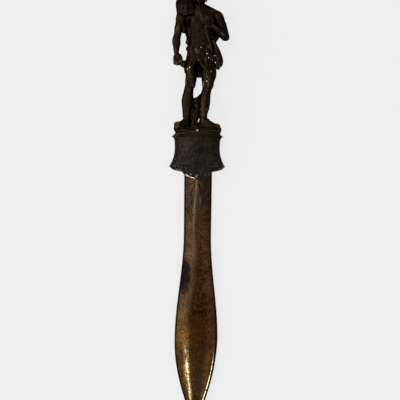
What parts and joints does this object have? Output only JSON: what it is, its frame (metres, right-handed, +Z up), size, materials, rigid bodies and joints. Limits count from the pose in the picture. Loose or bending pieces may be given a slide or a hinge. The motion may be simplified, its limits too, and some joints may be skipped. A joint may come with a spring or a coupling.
{
  "type": "letter opener",
  "caption": "Figural letter opener: leaf-shaped brass blade held in a flared bronze shield, under a plinth with a standing huntsman figure as its grip.",
  "frame": {"origin": "middle of the shield's flat back face, which lies on the desk", "axes": "+Y along the opener from the blade to the figure's head, +Z up out of the front, +X to the figure's left, which is the right side seen from the front"},
  "size_m": [0.0302, 0.233, 0.0161],
  "materials": {
    "blade_brass": "old polished brass with brown patina, pits and a black stain",
    "dark_bronze": "near-black brown patinated cast bronze, rubbed lighter on the high spots",
    "worn_bronze": "bronze bead rubbed bright",
    "pin_brass": "plain brass pins"
  },
  "bodies": {
    "root": {"blade": "blade_brass", "shield_front": "dark_bronze", "shield_back": "dark_bronze", "plinth": "dark_bronze", "tree_stump": "dark_bronze", "figure_body": "dark_bronze", "right_arm": "dark_bronze", "left_arm": "dark_bronze", "kilt": "dark_bronze", "shoulder_strap": "dark_bronze", "hip_pouch": "dark_bronze", "hide_mantle": "dark_bronze", "bead_pin": "worn_bronze", "shield_rivets": "pin_brass", "foot_pins": "pin_brass", "arm_dowels": "pin_brass"}
  },
  "joints": []
}
